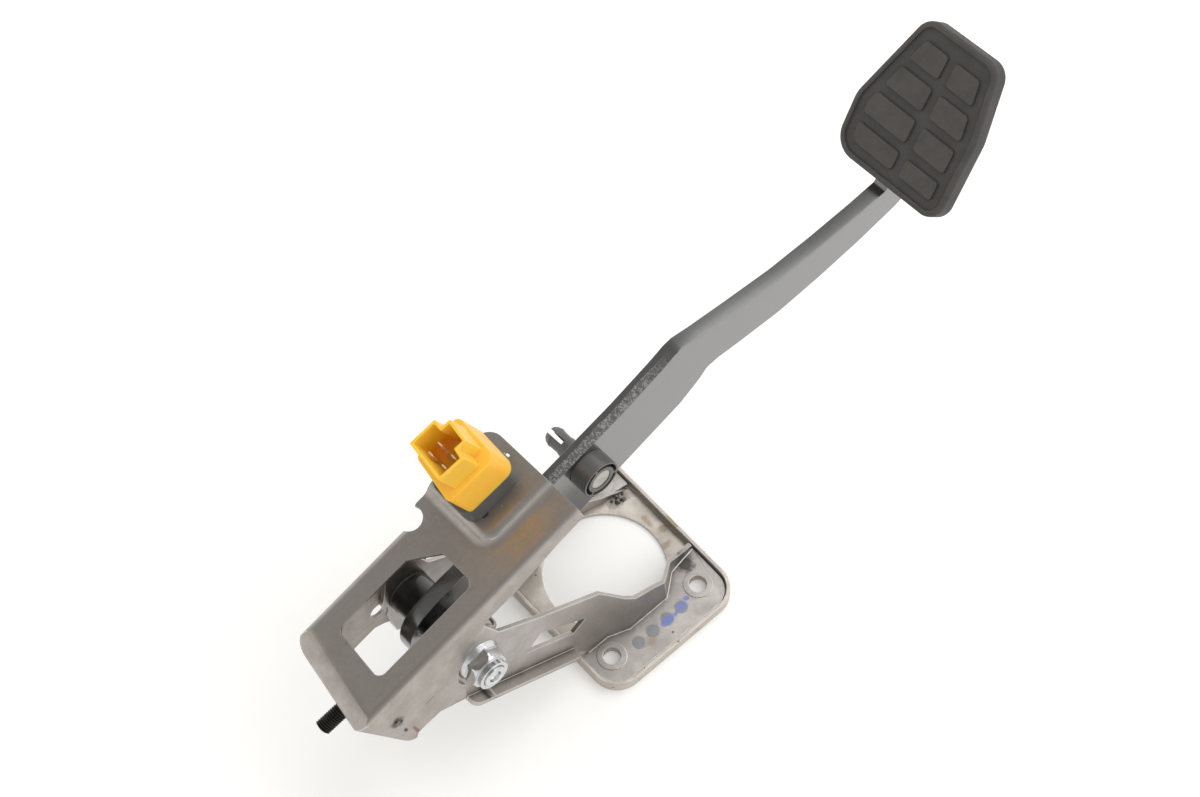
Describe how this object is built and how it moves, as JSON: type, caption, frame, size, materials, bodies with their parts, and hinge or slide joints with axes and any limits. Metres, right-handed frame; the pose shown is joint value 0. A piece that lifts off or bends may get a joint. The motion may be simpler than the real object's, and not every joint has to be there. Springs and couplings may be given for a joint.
{
  "type": "clutch pedal",
  "caption": "Clutch pedal on a sheet steel bracket: a cranked lever with a rubber foot pad turns between two arms under a hood that carries a pedal switch.",
  "frame": {"origin": "centre of the large push rod hole, on the underside of the base plate", "axes": "+X toward the foot pad, +Y across the pedal to the far arm, +Z away from the bulkhead, to the driver"},
  "size_m": [0.4148, 0.1064, 0.1975],
  "materials": {
    "bare_steel": "satin bare deep-drawn sheet steel with scuffs and a brown heat tint",
    "arm_steel": "satin bare sheet steel with bright cut edges",
    "plate_steel": "bare sheet steel, beige grey with rust specks",
    "zinc": "bright zinc plating",
    "black_phosphate": "black phosphated thread",
    "spring_steel": "oiled spring wire",
    "black_paint": "gloss black paint on steel",
    "black_plastic": "moulded black plastic",
    "yellow_plastic": "moulded amber yellow plastic",
    "pale_plastic": "pale bearing plastic",
    "tinned_brass": "tinned flat terminals",
    "buffer_rubber": "black rubber",
    "pad_rubber": "matte dark rubber with a fine grain",
    "pin_steel": "ground steel"
  },
  "bodies": {
    "bracket": {"base_plate": "plate_steel", "near_arm": "arm_steel", "far_arm": "arm_steel", "hood": "bare_steel", "hood_stud": "black_phosphate", "pivot_bolt": "zinc", "pivot_nut": "zinc", "pivot_sleeve": "pin_steel", "return_spring": "spring_steel", "stop_buffer": "buffer_rubber", "switch_base": "black_plastic", "switch_connector": "yellow_plastic", "switch_terminals": "tinned_brass", "plunger_spring": "spring_steel"},
    "pedal": {"lever": "black_paint", "hub_tube": "black_paint", "near_bush": "pale_plastic", "far_bush": "pale_plastic", "switch_striker": "black_paint", "rod_bush": "black_plastic", "rod_pin": "pin_steel", "pad_plate": "black_paint", "pad_rubber": "pad_rubber"},
    "plunger": {"switch_plunger": "pale_plastic"}
  },
  "joints": [
    {"name": "pedal_pivot", "type": "hinge", "parent": "bracket", "child": "pedal", "pos_m": [-0.094, -0.0182, 0.0775], "axis": [0, 0.9925, -0.1219], "range_deg": [0, 24], "stiffness_Nm_per_rad": 4, "springref_deg": -57.3, "deforming": ["return_spring"]},
    {"name": "plunger_slide", "type": "slide", "parent": "bracket", "child": "plunger", "axis": [-0.2487, 0.118, 0.9614], "range_m": [0, 0.003], "stiffness_N_per_m": 800, "springref_m": -0.003, "deforming": ["plunger_spring"]}
  ]
}
